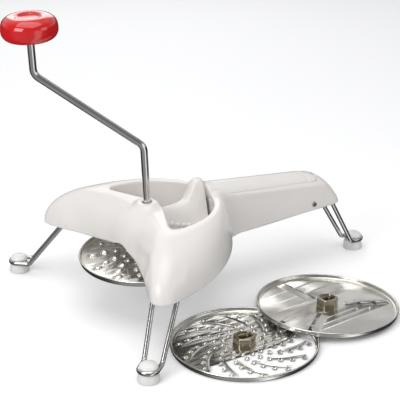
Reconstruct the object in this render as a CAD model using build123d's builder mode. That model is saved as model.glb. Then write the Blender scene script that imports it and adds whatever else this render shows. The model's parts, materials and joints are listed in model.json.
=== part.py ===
from build123d import *
import math
import os

# Rotary cabbage shredder with a hopper, a hinged pusher, a crank and three discs.
# Millimetres, +Z up, table top at z = 0. The handle points along +X.

# Set-out: where the crank axis meets the table, from the middle of the whole set
crank_x = -74.15
crank_y = 24.57
body_tilt = 2.6          # degrees that the body leans back over its rear leg
disc_height = 51.4       # fitted disc above the table, on the crank axis
disc_offset = 2.2        # fitted disc's centre in front of the handle side

# Discs
disc_radius = 70.0
plate_thickness = 0.8
rim_height = 4.5
rim_drop = 1.0
rim_width = 1.6
tooth_height = 1.8
hub_flats = 19.0
hub_height = 9.0
hub_wall = 1.3
hub_flange = 13.0
slot_length = 15.0
slot_gap = 0.2
index_hole = 5.0
index_hole_radius = 61.0
coarse_tooth = 3.2
fine_tooth = 2.0
tooth_hole = 0.6         # share of the tooth's radius
coarse_rows = (12, 4, 24.0, 11.0, 9.0)    # rows, teeth in a row, first radius, pitch, turn per tooth
fine_rows = (14, 6, 20.0, 8.0, 9.0)
shred_slot = (46.0, 26.0, 24.0)           # radius, length, angle of the first
hub_chamfer = 1.0
bead_corner = 0.45       # share of the rim's width
slot_width = 2.2
window_middle = 41.0
window_length = 13.0
window_width = 8.0
window_bar = 3.0
window_count = 3
window_angles = (30, 150, 270)
blade_length = 50.0
blade_reach = 4.0
blade_rise = 1.8
blade_root = 3.0

# Body shell
wall = 2.5
cut_length = 100.0       # longer than any cut needs
rim_level = 10.0         # lower edge of the shell above the fitted disc's plate
crown_level = 52.0
dome_angles = (0, 20, 40, 60, 77, 90)
arch_height = 9.0        # how far the front edge arches up in the middle
arch_half_span = 50.0
boss_height = 55.6
boss_radius = 9.5
boss_foot_radius = 17.0
boss_flare_height = 12.0
hub_room = 1.5           # round the hub's corners under the boss
front_edge = -12.0       # the arch is cut in front of here
arch_shoulder = 0.4      # share of the half span where the arch is half as high
hopper_radius = 64.5
hopper_front = 9.7
hopper_front_half = 14.0
hopper_corner = (-11.7, 63.4)
hopper_clearance = 0.8   # hopper wall above the disc's teeth
hopper_corner_radius = 14.0

# Crank
rod_diameter = 7.0
shaft_clearance = 0.06
bush_diameter = 11.0
bush_length = 28.0
bush_flange_radius = 8.6
bush_flange_thickness = 1.5
press_gap = 0.02
bore_diameter = 9.4
stop_ring_diameter = 9.0
stop_ring_height = 3.0
end_float = 0.2
cross_pin_diameter = 3.0
cross_pin_length = 14.0
crank_corner_level = 113.5
crank_radius = 98.0
crank_rise = 74.7
crank_neck = 32.5        # straight rod between the upper bend and the knob
rod_end = 2.0
rod_over_washer = 1.0
crank_bend = 11.0
crank_angle = 148.2      # degrees from the handle's direction at rest

# Knob
knob_radius = 26.5
knob_thickness = 24.0
knob_neck_radius = 9.0
dimple_radius = 10.0
cap_thickness = 1.6
washer_thickness = 1.0
washer_radius = 6.0
washer_gap = 0.2
knob_shoulder = 17.2
knob_corner = (4.0, 3.6) # how far in and down the knob's round corners start
dimple_lip = 1.0

# Handle and pusher lever
handle_start = 60.0
handle_end = 222.0       # the rear section's place; the tip is rounded off in front of it
handle_tip = 219.0
handle_floor = 6.0
handle_width_front = 50.0
handle_width_rear = 44.0
handle_top_front = 60.8
handle_top_rear = 36.6
handle_plan_corner = 11.0
# distance before the tip, level
handle_end_line = ((1.0, 12.0), (5.6, 20.0), (11.2, 28.0), (16.4, 35.0), (22.0, 40.2), (32.0, 46.0))
shoulder_front = (15.5, 11.4)
shoulder_rear = (19.0, 10.6)
lever_half_width = 15.0
lever_gap = 0.35
lever_wall = 2.4
lever_depth = 13.0
lever_start = 64.0
lever_core_start = 10.0
channel_overlap = 6.0    # how far the lever's channel runs into the hopper
hinge_x = 181.0
hinge_z = 30.0
hinge_pin_diameter = 4.0
hinge_pin_length = 36.0
knuckle_radius = 7.0
tail_radius = 15.6       # the lever's rear end, round the hinge pin
tail_low_angle = 20.0
lever_travel = 70.0
lever_web = 16.0         # solid end of the arm in front of the hinge pin
pusher_gap = 3.2
pusher_base = 6.0
pusher_plate = 4.0
ridge_level = 46.0
nose_x = 58.3
nose_level = 66.3
nose_half_width = 5.0
nose_room = 2.0
nose_foot = (16.0, 5.0)  # how far the neck reaches in front of the nose and below the crown
ridge_half_width = 4.0
ridge_line = ((48.0, 58.3), (37.0, 48.3))
ridge_drop = 9.3         # below the lever's top, behind the nose
flank_middle = (22.0, 19.0)
ridge_start = 20.0
ridge_end = 70.0
rib_pitch = 14.0
rib_count = 9
rib_thickness = 2.0
rib_height = 9.0

# Legs and feet
wire_diameter = 4.5
pivot_clearance = 0.08
foot_radius = 10.0
foot_cap_radius = 8.75
foot_height = 18.5
foot_crown = (0.8, 1.4, 0.3)    # cap's shoulder and top as shares of its radius, shoulder's drop
foot_edge = 1.0
groove_lip = 0.2
wire_height = 11.5
groove_gap = 0.05
front_foot_x = -78.0
front_foot_y = 136.0
front_pivot = (-35.0, 96.5, 19.0)
front_spread = 12.0
front_run = 13.0
rear_foot_x = 255.5
rear_pivot = (184.5, 12.2)
rear_spread = 13.0
rear_knee_length = 25.0
rear_run = 9.0
wire_bend = 6.0
ear_thickness = 3.0
wire_corner = 4.0        # bend where a strand turns outward into its pivot
ear_gap = 0.4
ear_radius = 7.0
pivot_stub = 8.2
rear_stub = 8.8
front_hole_end = 0.2     # pivot hole past the wire's end
rear_hole_end = 2.0

# Spare discs on the table
shredding_disc_x = 30.0
shredding_disc_y = -126.0
slicing_disc_x = 139.0
slicing_disc_y = -108.2
rest_gap = 0.2

os.makedirs("parts", exist_ok=True)


def on(parent, x=0.0, y=0.0, z=0.0, x_dir=(1, 0, 0), z_dir=(0, 0, 1)):
    """A plane at a point of a parent plane, turned by directions in that plane."""
    return Plane(parent.location * Plane(origin=(x, y, z), x_dir=x_dir, z_dir=z_dir).location)


def save(part, name):
    part.label = name
    export_step(part, "parts/" + name + ".step")
    solids = part.solids()
    print(name, len(solids), "solids", round(part.volume), "mm3")


table = Plane(origin=(crank_x, crank_y, 0))
lean = math.radians(body_tilt)
body = on(table, disc_offset, 0, disc_height,
          x_dir=(math.cos(lean), 0, math.sin(lean)), z_dir=(-math.sin(lean), 0, math.cos(lean)))


side_view = on(body, 0, 0, 0, x_dir=(1, 0, 0), z_dir=(0, -1, 0))
end_view = on(body, 0, 0, 0, x_dir=(0, 1, 0), z_dir=(1, 0, 0))


# Half outlines of the shell at its lower rim and at its crown: front middle, wing tip's
# start, middle and end, flank's middle and end, rear middle. Arcs join every other point.
rim_outline = [(-32, 0), (-61, 104), (-57.5, 117), (-44, 121), (26, 90), (76, 30), (84, 0)]
crown_outline = [(-4, 0), (-13, 54), (-12, 61.5), (-5, 65.5), (46, 51), (66, 21), (69, 0)]


def inset_points(points, inset):
    """Move the points of a closed outline inward by a distance, along its normals."""
    moved = []
    for i, (x, y) in enumerate(points):
        ahead = points[(i + 1) % len(points)]
        behind = points[i - 1]
        run_x, run_y = ahead[0] - behind[0], ahead[1] - behind[1]
        length = math.hypot(run_x, run_y)
        moved.append((x + inset * run_y / length, y - inset * run_x / length))
    return moved


def dome(inset, foot):
    """The domed body as a solid: its outline shrinks along a quarter ellipse."""
    with BuildPart() as volume:
        for angle in dome_angles:
            spread = math.cos(math.radians(angle))
            rise = math.sin(math.radians(angle))
            half = [(c[0] + spread * (r[0] - c[0]), c[1] + spread * (r[1] - c[1]))
                    for r, c in zip(rim_outline, crown_outline)]
            ring = inset_points(half + [(x, -y) for x, y in reversed(half[1:-1])], inset)
            with BuildSketch(body.offset(foot + rise * (crown_level - inset - foot))):
                with BuildLine():
                    for start in range(-1, len(ring) - 1, 2):
                        ThreePointArc(ring[start], ring[start + 1], ring[(start + 2) % len(ring)])
                make_face()
        loft(ruled=True)
    return volume.part


def handle_crown(x):
    """Height of the handle's top line above the disc plate."""
    share = (x - handle_start) / (handle_end - handle_start)
    return handle_top_front + share * (handle_top_rear - handle_top_front)


def handle_volume(inset, floor):
    """The handle as a solid: an arched section between front and rear, rounded at its end."""
    end = handle_tip - inset
    with BuildPart() as volume:
        ends = ((handle_start, handle_width_front, handle_top_front, shoulder_front),
                (handle_end, handle_width_rear, handle_top_rear, shoulder_rear))
        for x, width, top, (shoulder, sag) in ends:
            foot = width / 2 - inset
            side = shoulder - inset
            crown = top - inset
            with BuildSketch(on(body, x, 0, 0, x_dir=(0, 1, 0), z_dir=(1, 0, 0))):
                with BuildLine():
                    Line((-foot, 0), (foot, 0))
                    Line((foot, 0), (side, crown - sag))
                    ThreePointArc((side, crown - sag), (0, crown), (-side, crown - sag))
                    Line((-side, crown - sag), (-foot, 0))
                make_face()
        loft(ruled=True)
        rear_line = [(end - back, level - inset) for back, level in handle_end_line]
        with BuildSketch(side_view):
            with BuildLine():
                Spline(*rear_line)
                Polyline(rear_line[-1], (handle_start, cut_length), (handle_start, floor), (end, floor),
                         rear_line[0])
            make_face()
        extrude(amount=handle_width_front, both=True, mode=Mode.INTERSECT)
        with BuildSketch(body):
            half = handle_width_front / 2 + 1
            corner = handle_plan_corner
            with BuildLine():
                Polyline((end - corner, half), (handle_start, half), (handle_start, -half),
                         (end - corner, -half))
                Line((end, -half + corner + inset), (end, half - corner - inset))
                TangentArc((end - corner, -half), (end, -half + corner + inset), tangent=(1, 0))
                TangentArc((end - corner, half), (end, half - corner - inset), tangent=(1, 0))
            make_face()
        extrude(amount=cut_length, both=True, mode=Mode.INTERSECT)
    return volume.part


def hopper_face(grow):
    """Half-moon opening behind the crank, as a sketch on the body plane."""
    front = hopper_front
    reach = hopper_radius
    with BuildSketch(body) as face:
        with BuildLine():
            Polyline(hopper_corner, (front, hopper_front_half), (front, -hopper_front_half),
                     (hopper_corner[0], -hopper_corner[1]))
            ThreePointArc((hopper_corner[0], -hopper_corner[1]), (reach, 0), hopper_corner)
        make_face()
        tips = face.vertices().group_by(Axis((0, 0, 0), tuple(body.x_dir)))[0]
        fillet(tips, hopper_corner_radius)
        if grow:
            offset(amount=grow, mode=Mode.REPLACE)
    return face.sketch


# Levels above the fitted disc's plate
hub_top = plate_thickness + hub_height
boss_foot = hub_top + end_float + bush_flange_thickness
bush_top = boss_foot + bush_length
hopper_foot = plate_thickness + tooth_height + hopper_clearance
hub_clearance_radius = hub_flats / math.sqrt(3) + hub_room
pivot_hole = wire_diameter / 2 + pivot_clearance

shell = dome(0, rim_level)
shell_cavity = dome(wall, rim_level - 2)
grip = handle_volume(0, handle_floor)
grip_cavity = handle_volume(wall, handle_floor - 2)


class Leg:
    """Where one wire leg stands, pivots and bends."""

    def __init__(self, foot, pivot, spread, run, stub, hole_run, knee):
        hinge = Vector(*pivot)
        hinge = body.from_local_coords(hinge)
        stand = table.from_local_coords(Vector(*foot, 0))
        outward = Vector(stand.X - hinge.X, stand.Y - hinge.Y, 0)
        self.plane = Plane(origin=stand, x_dir=outward.normalized(), z_dir=(0, 0, 1))
        self.reach = outward.length
        self.height = hinge.Z
        self.spread = spread
        self.run = run
        self.stub = stub
        self.hole_reach = spread + stub + hole_run
        self.knee = knee


legs = {
    "left": Leg((front_foot_x, front_foot_y), front_pivot, front_spread, front_run,
                pivot_stub, front_hole_end, 0),
    "right": Leg((front_foot_x, -front_foot_y), (front_pivot[0], -front_pivot[1], front_pivot[2]),
                 front_spread, front_run, pivot_stub, front_hole_end, 0),
    "rear": Leg((rear_foot_x, 0), (rear_pivot[0], 0, rear_pivot[1]), rear_spread, rear_run,
                rear_stub, rear_hole_end, rear_knee_length),
}


def about_hinge(radius, angle):
    """A point of the side view, round the lever's hinge pin."""
    turned = math.radians(angle)
    return (hinge_x + radius * math.cos(turned), hinge_z + radius * math.sin(turned))


def channel_profile(grow):
    """Side view of the lever's channel, with the pocket that its rear end turns down into."""
    start = hopper_radius - channel_overlap
    swing = tail_radius + lever_gap
    low_angle = tail_low_angle - lever_travel - 3
    with BuildSketch(side_view) as profile:
        with BuildLine():
            Polyline((start, handle_crown(start) - lever_depth),
                     (hinge_x, handle_crown(hinge_x) - lever_depth), (hinge_x, cut_length),
                     (start, cut_length), close=True)
        make_face()
        with BuildLine():
            Polyline(about_hinge(swing, 90), (hinge_x, hinge_z), about_hinge(swing, low_angle))
            ThreePointArc(about_hinge(swing, low_angle), about_hinge(swing, 20), about_hinge(swing, 90))
        make_face()
        with Locations((hinge_x, hinge_z)):
            Circle(knuckle_radius + lever_gap)
        if grow:
            offset(amount=grow, mode=Mode.REPLACE)
    return profile.sketch


channel = extrude(channel_profile(0), amount=lever_half_width, both=True)
channel_skin = extrude(channel_profile(wall), amount=handle_width_front, both=True)

with BuildPart() as ears:
    for side in ("left", "right"):
        leg = legs[side]
        for turn in (-1, 1):
            middle = turn * (leg.spread + wire_corner + ear_gap + ear_thickness / 2)
            with BuildSketch(on(leg.plane, -leg.reach, middle, 0, x_dir=(1, 0, 0), z_dir=(0, -1, 0))):
                with Locations((0, leg.height)):
                    Circle(ear_radius)
                with Locations((0, leg.height + cut_length / 2)):
                    Rectangle(2 * ear_radius, cut_length)
            extrude(amount=ear_thickness / 2, both=True)
    add(shell, mode=Mode.INTERSECT)

grip_hollow = grip_cavity - channel_skin
hopper_wall = extrude(hopper_face(wall).moved(Location(body.z_dir * hopper_foot)),
                      amount=crown_level - hopper_foot)
hopper_opening = hopper_face(0)

with BuildPart() as main_body:
    add(shell)
    add(grip)
    add(shell_cavity, mode=Mode.SUBTRACT)
    add(grip_hollow, mode=Mode.SUBTRACT)
    add(ears.part)
    add(hopper_wall)
    with BuildSketch(body.offset(boss_foot)):
        Circle(boss_radius)
    extrude(amount=boss_height - boss_foot)
    with BuildSketch(side_view):
        with BuildLine():
            Polyline((0, boss_height), (-boss_radius, boss_height),
                     (-boss_foot_radius, boss_height - boss_flare_height),
                     (0, boss_height - boss_flare_height), close=True)
        make_face()
    revolve(axis=Axis(body.origin, body.z_dir))
    extrude(hopper_opening, amount=cut_length, both=True, mode=Mode.SUBTRACT)
    add(channel, mode=Mode.SUBTRACT)
    with BuildSketch(body.offset(boss_foot)):
        Circle(hub_clearance_radius)
    extrude(amount=-boss_foot, mode=Mode.SUBTRACT)
    with BuildSketch(body.offset(boss_foot)):
        Circle(bush_diameter / 2 + press_gap)
    extrude(amount=bush_length, mode=Mode.SUBTRACT)
    with BuildSketch(body.offset(bush_top)):
        Circle(bore_diameter / 2)
    extrude(amount=cut_length, mode=Mode.SUBTRACT)
    with BuildSketch(end_view.offset(-cut_length)):
        with BuildLine():
            half_way = arch_half_span * arch_shoulder
            Polyline((-arch_half_span, rim_level), (-arch_half_span, 0), (arch_half_span, 0),
                     (arch_half_span, rim_level))
            Spline((-arch_half_span, rim_level), (-half_way, rim_level + arch_height / 2),
                   (0, rim_level + arch_height), (half_way, rim_level + arch_height / 2),
                   (arch_half_span, rim_level))
        make_face()
    extrude(amount=cut_length + front_edge, mode=Mode.SUBTRACT)
    for leg in legs.values():
        with BuildSketch(on(leg.plane, -leg.reach, 0, leg.height, x_dir=(1, 0, 0), z_dir=(0, -1, 0))):
            Circle(pivot_hole)
        extrude(amount=leg.hole_reach, both=True, mode=Mode.SUBTRACT)
    with BuildSketch(on(body, hinge_x, 0, hinge_z, x_dir=(1, 0, 0), z_dir=(0, -1, 0))):
        Circle(hinge_pin_diameter / 2 + press_gap)
    extrude(amount=hinge_pin_length / 2, both=True, mode=Mode.SUBTRACT)
save(main_body.part, "main_body")


lever_hollow = handle_volume(lever_wall, 0)

with BuildPart() as arm_core:
    with BuildSketch(side_view):
        with BuildLine():
            start = lever_start + lever_core_start
            end = hinge_x - lever_web
            Polyline((start, 0), (end, 0), (end, handle_crown(end)), (start, handle_crown(start)),
                     close=True)
        make_face()
    extrude(amount=lever_half_width - lever_gap - lever_wall, both=True)
    add(lever_hollow, mode=Mode.INTERSECT)

with BuildPart() as arm:
    with BuildSketch(side_view):
        with BuildLine():
            floor = lever_depth - lever_gap
            Polyline(about_hinge(tail_radius, 90), (hinge_x, cut_length), (lever_start, cut_length),
                     (lever_start, handle_crown(lever_start) - floor),
                     (hinge_x, handle_crown(hinge_x) - floor), about_hinge(tail_radius, tail_low_angle))
            ThreePointArc(about_hinge(tail_radius, tail_low_angle), about_hinge(tail_radius, 45),
                          about_hinge(tail_radius, 90))
        make_face()
        with Locations((hinge_x, hinge_z)):
            Circle(knuckle_radius)
    extrude(amount=lever_half_width - lever_gap, both=True)
    add(grip, mode=Mode.INTERSECT)
    add(arm_core.part, mode=Mode.SUBTRACT)


def plunger(inset, foot):
    """The pusher's saddle: a ridge along the middle that falls away to both sides."""
    front = hopper_corner[0]
    rear = hopper_radius - pusher_gap - inset
    back = ridge_end - inset
    ridge = ridge_level - inset
    nose = nose_level - inset
    with BuildPart() as volume:
        with BuildSketch(side_view):
            with BuildLine():
                top = handle_crown(ridge_end) - inset
                middle = [(x + inset, z - inset) for x, z in ridge_line]
                Polyline((ridge_start, ridge), (front, ridge), (front, foot), (rear, foot), (rear, ridge),
                         (back, top - ridge_drop), (back, top))
                Spline((back, top), (nose_x, nose), *middle, (ridge_start, ridge),
                       tangents=[(-0.6, 1), (-1, 0)])
            make_face()
        extrude(amount=hopper_radius, both=True)
        with BuildSketch(end_view):
            with BuildLine():
                side = ridge_half_width - inset / 2
                tip = nose_half_width - inset
                skirt = pusher_base + pusher_plate - inset / 2
                reach = hopper_radius - inset
                bend = (flank_middle[0] - inset, flank_middle[1] - inset)
                Polyline((-side, ridge), (-tip, nose_level + nose_room), (tip, nose_level + nose_room),
                         (side, ridge))
                ThreePointArc((side, ridge), bend, (reach, skirt))
                Polyline((reach, skirt), (reach, foot), (-reach, foot), (-reach, skirt))
                ThreePointArc((-reach, skirt), (-bend[0], bend[1]), (-side, ridge))
            make_face()
        extrude(amount=cut_length, both=True, mode=Mode.INTERSECT)
    return volume.part


def half_moon(grow, level, height):
    """A prism of the hopper's opening, grown or shrunk, between two levels."""
    return extrude(hopper_face(grow).moved(Location(body.z_dir * level)), amount=height)


with BuildPart() as neck:
    with BuildSketch(side_view):
        with BuildLine():
            front, foot = nose_x - nose_foot[0], crown_level - nose_foot[1]
            Polyline((front, foot), (ridge_end, foot), (ridge_end, cut_length), (front, cut_length),
                     close=True)
        make_face()
    extrude(amount=nose_half_width + nose_room, both=True)

envelope = half_moon(-pusher_gap, pusher_base, cut_length) + neck.part
saddle = plunger(0, pusher_base) & envelope
underside = half_moon(-pusher_gap - lever_wall, 0, cut_length) & plunger(lever_wall, 0)

with BuildPart() as ribs:
    with BuildSketch(body.offset(pusher_base)):
        with Locations((hopper_radius / 2, 0)):
            with GridLocations(0, rib_pitch, 1, rib_count):
                Rectangle(hopper_radius * 2, rib_thickness)
    extrude(amount=rib_height)

rib_edge = lever_wall / 2
fitted_ribs = ribs.part & half_moon(-pusher_gap - rib_edge, pusher_base, rib_height) & plunger(rib_edge, 0)

with BuildPart() as pusher_lever:
    add(saddle)
    add(underside, mode=Mode.SUBTRACT)
    add(fitted_ribs)
    add(arm.part)
    with BuildSketch(on(body, hinge_x, 0, hinge_z, x_dir=(1, 0, 0), z_dir=(0, -1, 0))):
        Circle(hinge_pin_diameter / 2 + pivot_clearance)
    extrude(amount=lever_half_width, both=True, mode=Mode.SUBTRACT)
save(pusher_lever.part, "pusher_lever")

with BuildPart() as pusher_hinge_pin:
    with BuildSketch(on(body, hinge_x, 0, hinge_z, x_dir=(1, 0, 0), z_dir=(0, -1, 0))):
        Circle(hinge_pin_diameter / 2)
    extrude(amount=hinge_pin_length / 2 - end_float, both=True)
save(pusher_hinge_pin.part, "pusher_hinge_pin")


turn = math.radians(crank_angle)
crank_view = on(body, 0, 0, 0, x_dir=(math.cos(turn), math.sin(turn), 0),
                z_dir=(math.sin(turn), -math.cos(turn), 0))
knob_foot = crank_corner_level + crank_rise + crank_neck
rod_top = knob_foot + knob_shoulder + washer_gap + washer_thickness + rod_over_washer
pin_level = hub_top - hub_wall - cross_pin_diameter / 2 - end_float / 2

with BuildPart() as crank_rod:
    with BuildLine(crank_view) as rod_path:
        FilletPolyline((0, rod_end), (0, crank_corner_level),
                       (crank_radius, crank_corner_level + crank_rise), (crank_radius, rod_top),
                       radius=crank_bend)
    with BuildSketch(Plane(origin=rod_path.line @ 0, z_dir=rod_path.line % 0)):
        Circle(rod_diameter / 2)
    sweep()
    with BuildSketch(on(body, 0, 0, pin_level, x_dir=(1, 0, 0), z_dir=(0, -1, 0))):
        Circle(cross_pin_diameter / 2 + press_gap)
    extrude(amount=rod_diameter, both=True, mode=Mode.SUBTRACT)
save(crank_rod.part, "crank_rod")

with BuildPart() as crank_cross_pin:
    with BuildSketch(on(body, 0, 0, pin_level, x_dir=(1, 0, 0), z_dir=(0, -1, 0))):
        Circle(cross_pin_diameter / 2)
    extrude(amount=cross_pin_length / 2, both=True)
save(crank_cross_pin.part, "crank_cross_pin")

with BuildPart() as crank_bush:
    with BuildSketch(body.offset(boss_foot - bush_flange_thickness)):
        Circle(bush_flange_radius)
    extrude(amount=bush_flange_thickness)
    with BuildSketch(body.offset(boss_foot)):
        Circle(bush_diameter / 2)
    extrude(amount=bush_length)
    with BuildSketch(body.offset(boss_foot - bush_flange_thickness)):
        Circle(rod_diameter / 2 + shaft_clearance)
    extrude(amount=bush_length + bush_flange_thickness, mode=Mode.SUBTRACT)
save(crank_bush.part, "crank_bush")

with BuildPart() as crank_stop_ring:
    with BuildSketch(body.offset(bush_top + end_float / 2)):
        Circle(stop_ring_diameter / 2)
        Circle(rod_diameter / 2 + press_gap, mode=Mode.SUBTRACT)
    extrude(amount=stop_ring_height)
save(crank_stop_ring.part, "crank_stop_ring")


grip_axis = on(crank_view, crank_radius, knob_foot, 0, x_dir=(1, 0, 0), z_dir=(0, 0, 1))
knob_base = Plane(origin=grip_axis.origin, x_dir=crank_view.x_dir, z_dir=body.z_dir)
knob_axis = Axis(knob_base.origin, knob_base.z_dir)
knob_bore = rod_diameter / 2 + shaft_clearance
cap_seat = knob_thickness - cap_thickness
washer_room = washer_radius + 1

with BuildPart() as crank_knob:
    with BuildSketch(grip_axis):
        with BuildLine():
            Line((knob_bore, 0), (knob_neck_radius, 0))
            corner, drop = knob_corner
            Spline((knob_neck_radius, 0), (knob_radius - corner, corner), (knob_radius, knob_thickness / 2),
                   (knob_radius - corner, knob_thickness - drop),
                   (dimple_radius + dimple_lip, knob_thickness))
            Polyline((dimple_radius + dimple_lip, knob_thickness), (dimple_radius, knob_thickness),
                     (dimple_radius, cap_seat), (washer_room, cap_seat), (washer_room, knob_shoulder),
                     (knob_bore, knob_shoulder), (knob_bore, 0))
        make_face()
    revolve(axis=knob_axis)
save(crank_knob.part, "crank_knob")

with BuildPart() as knob_cap:
    with BuildSketch(knob_base.offset(cap_seat)):
        Circle(dimple_radius - press_gap)
    extrude(amount=cap_thickness)
save(knob_cap.part, "knob_cap")

with BuildPart() as knob_washer:
    with BuildSketch(knob_base.offset(knob_shoulder + washer_gap)):
        Circle(washer_radius)
        Circle(rod_diameter / 2 + press_gap, mode=Mode.SUBTRACT)
    extrude(amount=washer_thickness)
save(knob_washer.part, "knob_retaining_washer")


def spiral(rows, count, first, pitch, sweep_angle):
    """Places along curved rows: radius, angle in degrees."""
    return [(first + step * pitch, 360 * row / rows + sweep_angle * step)
            for row in range(rows) for step in range(count)]


def around(plane, angle):
    """A view plane whose normal points outward from a disc's axis at an angle."""
    turned = math.radians(angle)
    return on(plane, 0, 0, 0, x_dir=(-math.sin(turned), math.cos(turned), 0),
              z_dir=(math.cos(turned), math.sin(turned), 0))


def disc(plane, teeth, tooth_radius, slots=(), windows=()):
    """A pressed tray: plate with a rolled rim, punched teeth, curved slots and blade windows."""
    top = plane.offset(plate_thickness)
    spots = [Location((r * math.cos(math.radians(a)), r * math.sin(math.radians(a)), 0), (0, 0, a))
             for r, a in teeth]
    with BuildSketch() as lip:
        Circle(tooth_radius)
        Circle(tooth_radius * tooth_hole, mode=Mode.SUBTRACT)
        with Locations((0, -tooth_radius)):
            Rectangle(3 * tooth_radius, 2 * tooth_radius, mode=Mode.SUBTRACT)
    with BuildPart() as tray:
        with BuildSketch(plane):
            Circle(disc_radius - rim_width / 2)
            RegularPolygon(hub_flats / 2 + press_gap, 6, major_radius=False, mode=Mode.SUBTRACT)
            if teeth:
                with Locations(*spots):
                    Circle(tooth_radius * tooth_hole, mode=Mode.SUBTRACT)
            for angle, radius, length in slots:
                with Locations(Location((0, 0, 0), (0, 0, angle))):
                    with Locations((radius, 0)):
                        SlotOverall(length, slot_width, mode=Mode.SUBTRACT)
            for angle in windows:
                with Locations(Location((0, 0, 0), (0, 0, angle))):
                    with Locations((window_middle, 0)):
                        with GridLocations(window_length + window_bar, 0, window_count, 1):
                            Rectangle(window_length, window_width, mode=Mode.SUBTRACT)
            with Locations((index_hole_radius, 0)):
                Circle(index_hole / 2, mode=Mode.SUBTRACT)
        extrude(amount=plate_thickness)
        if teeth:
            with BuildSketch(top):
                with Locations(*spots):
                    add(lip.sketch)
            extrude(amount=tooth_height)
        with BuildSketch(on(plane, 0, 0, 0, x_dir=(1, 0, 0), z_dir=(0, -1, 0))):
            with Locations((disc_radius - rim_width / 2, (rim_height - rim_drop) / 2)):
                RectangleRounded(rim_width, rim_height + rim_drop, rim_width * bead_corner)
        revolve(axis=Axis(plane.origin, plane.z_dir))
        for angle in windows:
            with BuildSketch(around(plane, angle).offset(window_middle - blade_length / 2)):
                with BuildLine():
                    edge = window_width / 2
                    Polyline((edge, 0), (edge, plate_thickness), (edge - blade_reach, blade_rise),
                             (edge - blade_reach, blade_rise + plate_thickness),
                             (edge + blade_root, plate_thickness), (edge + blade_root, 0), close=True)
                make_face()
            extrude(amount=blade_length)
    return tray.part


def hub(plane):
    """Pressed hexagonal cup with a flange under the plate and a slot for the crank's pin."""
    with BuildPart() as cup:
        with BuildSketch(plane.offset(-plate_thickness)):
            Circle(hub_flange)
        extrude(amount=plate_thickness)
        with BuildSketch(plane):
            RegularPolygon(hub_flats / 2, 6, major_radius=False)
        extrude(amount=hub_top)
        chamfer(cup.faces().sort_by(Axis(plane.origin, plane.z_dir))[-1].edges(), hub_chamfer)
        with BuildSketch(plane.offset(-plate_thickness)):
            RegularPolygon(hub_flats / 2 - hub_wall, 6, major_radius=False)
        extrude(amount=plate_thickness + hub_top - hub_wall, mode=Mode.SUBTRACT)
        with BuildSketch(plane):
            Rectangle(slot_length, rod_diameter + 2 * slot_gap)
        extrude(amount=hub_top, mode=Mode.SUBTRACT)
    return cup.part


shredding_bed = on(table, shredding_disc_x, shredding_disc_y, rim_drop)
gap_x = slicing_disc_x - shredding_disc_x
gap_y = slicing_disc_y - shredding_disc_y
gap = math.hypot(gap_x, gap_y)
rise_angle = math.asin((rim_height + rim_drop + rest_gap) / (disc_radius + gap / 2))
ahead = (gap_x / gap, gap_y / gap)
low = on(table, slicing_disc_x + disc_radius * ahead[0], slicing_disc_y + disc_radius * ahead[1], 0,
         x_dir=(-ahead[0] * math.cos(rise_angle), -ahead[1] * math.cos(rise_angle), math.sin(rise_angle)),
         z_dir=(ahead[0] * math.sin(rise_angle), ahead[1] * math.sin(rise_angle), math.cos(rise_angle)))
slicing_bed = on(low, disc_radius, 0, rim_drop)

coarse_teeth = spiral(*coarse_rows)
fine_teeth = spiral(*fine_rows)
slot_radius, slot_reach, slot_start = shred_slot
shred_slots = [(360 * (row + 0.5) / fine_rows[0] + slot_start, slot_radius, slot_reach)
               for row in range(fine_rows[0])]
save(disc(body, coarse_teeth, coarse_tooth), "fitted_disc")
save(hub(body), "fitted_disc_hub")
save(disc(shredding_bed, fine_teeth, fine_tooth, slots=shred_slots), "shredding_disc")
save(hub(shredding_bed), "shredding_disc_hub")
save(disc(slicing_bed, [], fine_tooth, windows=window_angles), "slicing_disc")
save(hub(slicing_bed), "slicing_disc_hub")


groove_radius = foot_cap_radius - wire_diameter / 2 - groove_lip
loop_radius = groove_radius + groove_gap + wire_diameter / 2


def leg_wire(leg):
    """A bent wire: out of one pivot, down, round the foot and back to the other pivot."""
    knee = [(leg.knee - leg.reach, leg.spread, leg.height)] if leg.knee else []
    strand = [(-leg.reach, leg.spread + leg.stub, leg.height), (-leg.reach, leg.spread, leg.height)]
    strand += knee + [(-leg.run, loop_radius, wire_height), (0, loop_radius, wire_height)]
    bends = [wire_corner] + [wire_bend] * (len(strand) - 3)
    back = [(x, -y, z) for x, y, z in reversed(strand)]
    with BuildPart() as wire:
        with BuildLine(leg.plane) as path:
            FilletPolyline(*strand, radius=bends)
            ThreePointArc(strand[-1], (loop_radius, 0, wire_height), back[0])
            FilletPolyline(*back, radius=bends[::-1])
        with BuildSketch(Plane(origin=path.line @ 0, z_dir=path.line % 0)):
            Circle(wire_diameter / 2)
        sweep()
    return wire.part


def foot_button(leg):
    """A turned foot with a groove that the wire loop snaps into."""
    low_lip = wire_height - wire_diameter / 2 - groove_gap
    high_lip = wire_height + wire_diameter / 2 + groove_gap
    shoulder, drop, crown = foot_crown
    with BuildPart() as button:
        with BuildSketch(Plane(origin=leg.plane.origin, x_dir=leg.plane.x_dir, z_dir=-leg.plane.y_dir)):
            with BuildLine():
                Polyline((0, 0), (foot_radius - foot_edge, 0), (foot_radius, foot_edge),
                         (foot_radius, low_lip), (groove_radius, low_lip), (groove_radius, high_lip),
                         (foot_cap_radius, high_lip))
                ThreePointArc((foot_cap_radius, high_lip), (foot_cap_radius * shoulder, foot_height - drop),
                              (foot_cap_radius * crown, foot_height))
                Polyline((foot_cap_radius * crown, foot_height), (0, foot_height), (0, 0))
            make_face()
        revolve(axis=Axis(leg.plane.origin, (0, 0, 1)))
    return button.part


for side, leg in legs.items():
    save(leg_wire(leg), side + "_leg_wire")
    save(foot_button(leg), side + "_foot")
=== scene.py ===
import json
import math

import bmesh
import bpy
import numpy as np
from mathutils import Matrix, Vector


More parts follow.
